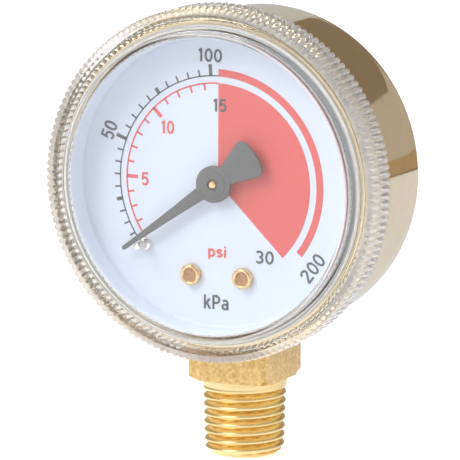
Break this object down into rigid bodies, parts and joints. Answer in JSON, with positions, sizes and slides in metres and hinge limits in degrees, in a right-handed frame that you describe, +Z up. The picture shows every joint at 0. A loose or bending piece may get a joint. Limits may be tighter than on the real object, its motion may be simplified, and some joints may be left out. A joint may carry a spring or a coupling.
{
  "type": "pressure gauge",
  "caption": "Round dial pressure gauge with a polished brass case, knurled clear screw-on lens, black pointer and a lower square-shouldered pipe-thread stem.",
  "frame": {"origin": "centre of the stem's end face, on the stem's axis", "axes": "+Z up along the stem to the dial's centre, -Y the way the dial faces, +X to the right seen from the front"},
  "size_m": [0.0578, 0.0281, 0.0749],
  "materials": {
    "brass": "satin",
    "polished_brass": "polished",
    "spring_bronze": "satin",
    "steel": "satin",
    "nickel": "polished",
    "black_paint": "satin",
    "white_paint": "satin",
    "clear_plastic": "polished",
    "seal_rubber": "matte",
    "black_rubber": "matte"
  },
  "bodies": {
    "housing": {"socket": "brass", "restrictor_screw": "brass", "case": "polished_brass", "case_screw_left": "steel", "case_screw_right": "steel", "relief_plug": "black_rubber", "dial": "white_paint", "dial_screw_left": "brass", "dial_screw_right": "brass", "dial_post_left": "brass", "dial_post_right": "brass", "stop_pin": "nickel", "movement_back_plate": "brass", "movement_front_plate": "brass", "plate_pillar_1": "brass", "plate_pillar_2": "brass", "plate_pillar_3": "brass", "plate_screw_1": "steel", "plate_screw_2": "steel", "plate_screw_3": "steel", "movement_screw_left": "steel", "movement_screw_right": "steel", "hairspring": "spring_bronze", "hairspring_stud": "brass", "bourdon_tube": "spring_bronze"},
    "pointer_shaft": {"pointer": "black_paint", "pinion": "brass", "hairspring_collet": "brass"},
    "sector": {"sector_gear": "brass", "sector_arbor": "brass", "link_pin_sector": "steel"},
    "link": {"link": "steel"},
    "tube_tip": {"tube_tip": "brass", "link_pin_tip": "steel"},
    "lens_seal": {"lens_gasket": "seal_rubber"},
    "lens": {"lens": "clear_plastic"}
  },
  "joints": [
    {"name": "sector_swing", "type": "hinge", "parent": "housing", "child": "sector", "pos_m": [0.0065, -0.0035, 0.03388], "axis": [0, 1, 0], "range_deg": [-26.1, 0], "stiffness_Nm_per_rad": 0.005},
    {"name": "pointer_turn", "type": "hinge", "parent": "housing", "child": "pointer_shaft", "pos_m": [0, -0.01, 0.046], "axis": [0, 1, 0], "range_deg": [0, 261.5]},
    {"name": "link_swing", "type": "hinge", "parent": "sector", "child": "link", "pos_m": [0.01212, -0.0044, 0.03126], "axis": [0, 1, 0], "range_deg": [0, 33]},
    {"name": "tube_flex", "type": "hinge", "parent": "housing", "child": "tube_tip", "pos_m": [-0.0048, -0.003, 0.0494], "axis": [0, 1, 0], "range_deg": [-7.4, 0], "deforming": ["bourdon_tube"]},
    {"name": "seal_slide", "type": "slide", "parent": "housing", "child": "lens_seal", "axis": [0, -1, 0], "range_m": [0, 0.0041]},
    {"name": "lens_turn", "type": "hinge", "parent": "lens_seal", "child": "lens", "pos_m": [0, -0.012, 0.046], "axis": [0, -1, 0], "range_deg": [0, 720]}
  ],
  "couplings": [
    {"joint": "pointer_turn", "follows": "sector_swing", "ratio": -10},
    {"joint": "link_swing", "follows": "sector_swing", "ratio": -1.2529},
    {"joint": "tube_flex", "follows": "sector_swing", "ratio": 0.27969},
    {"joint": "seal_slide", "follows": "lens_turn", "m_per_rad": 0.00031831}
  ]
}
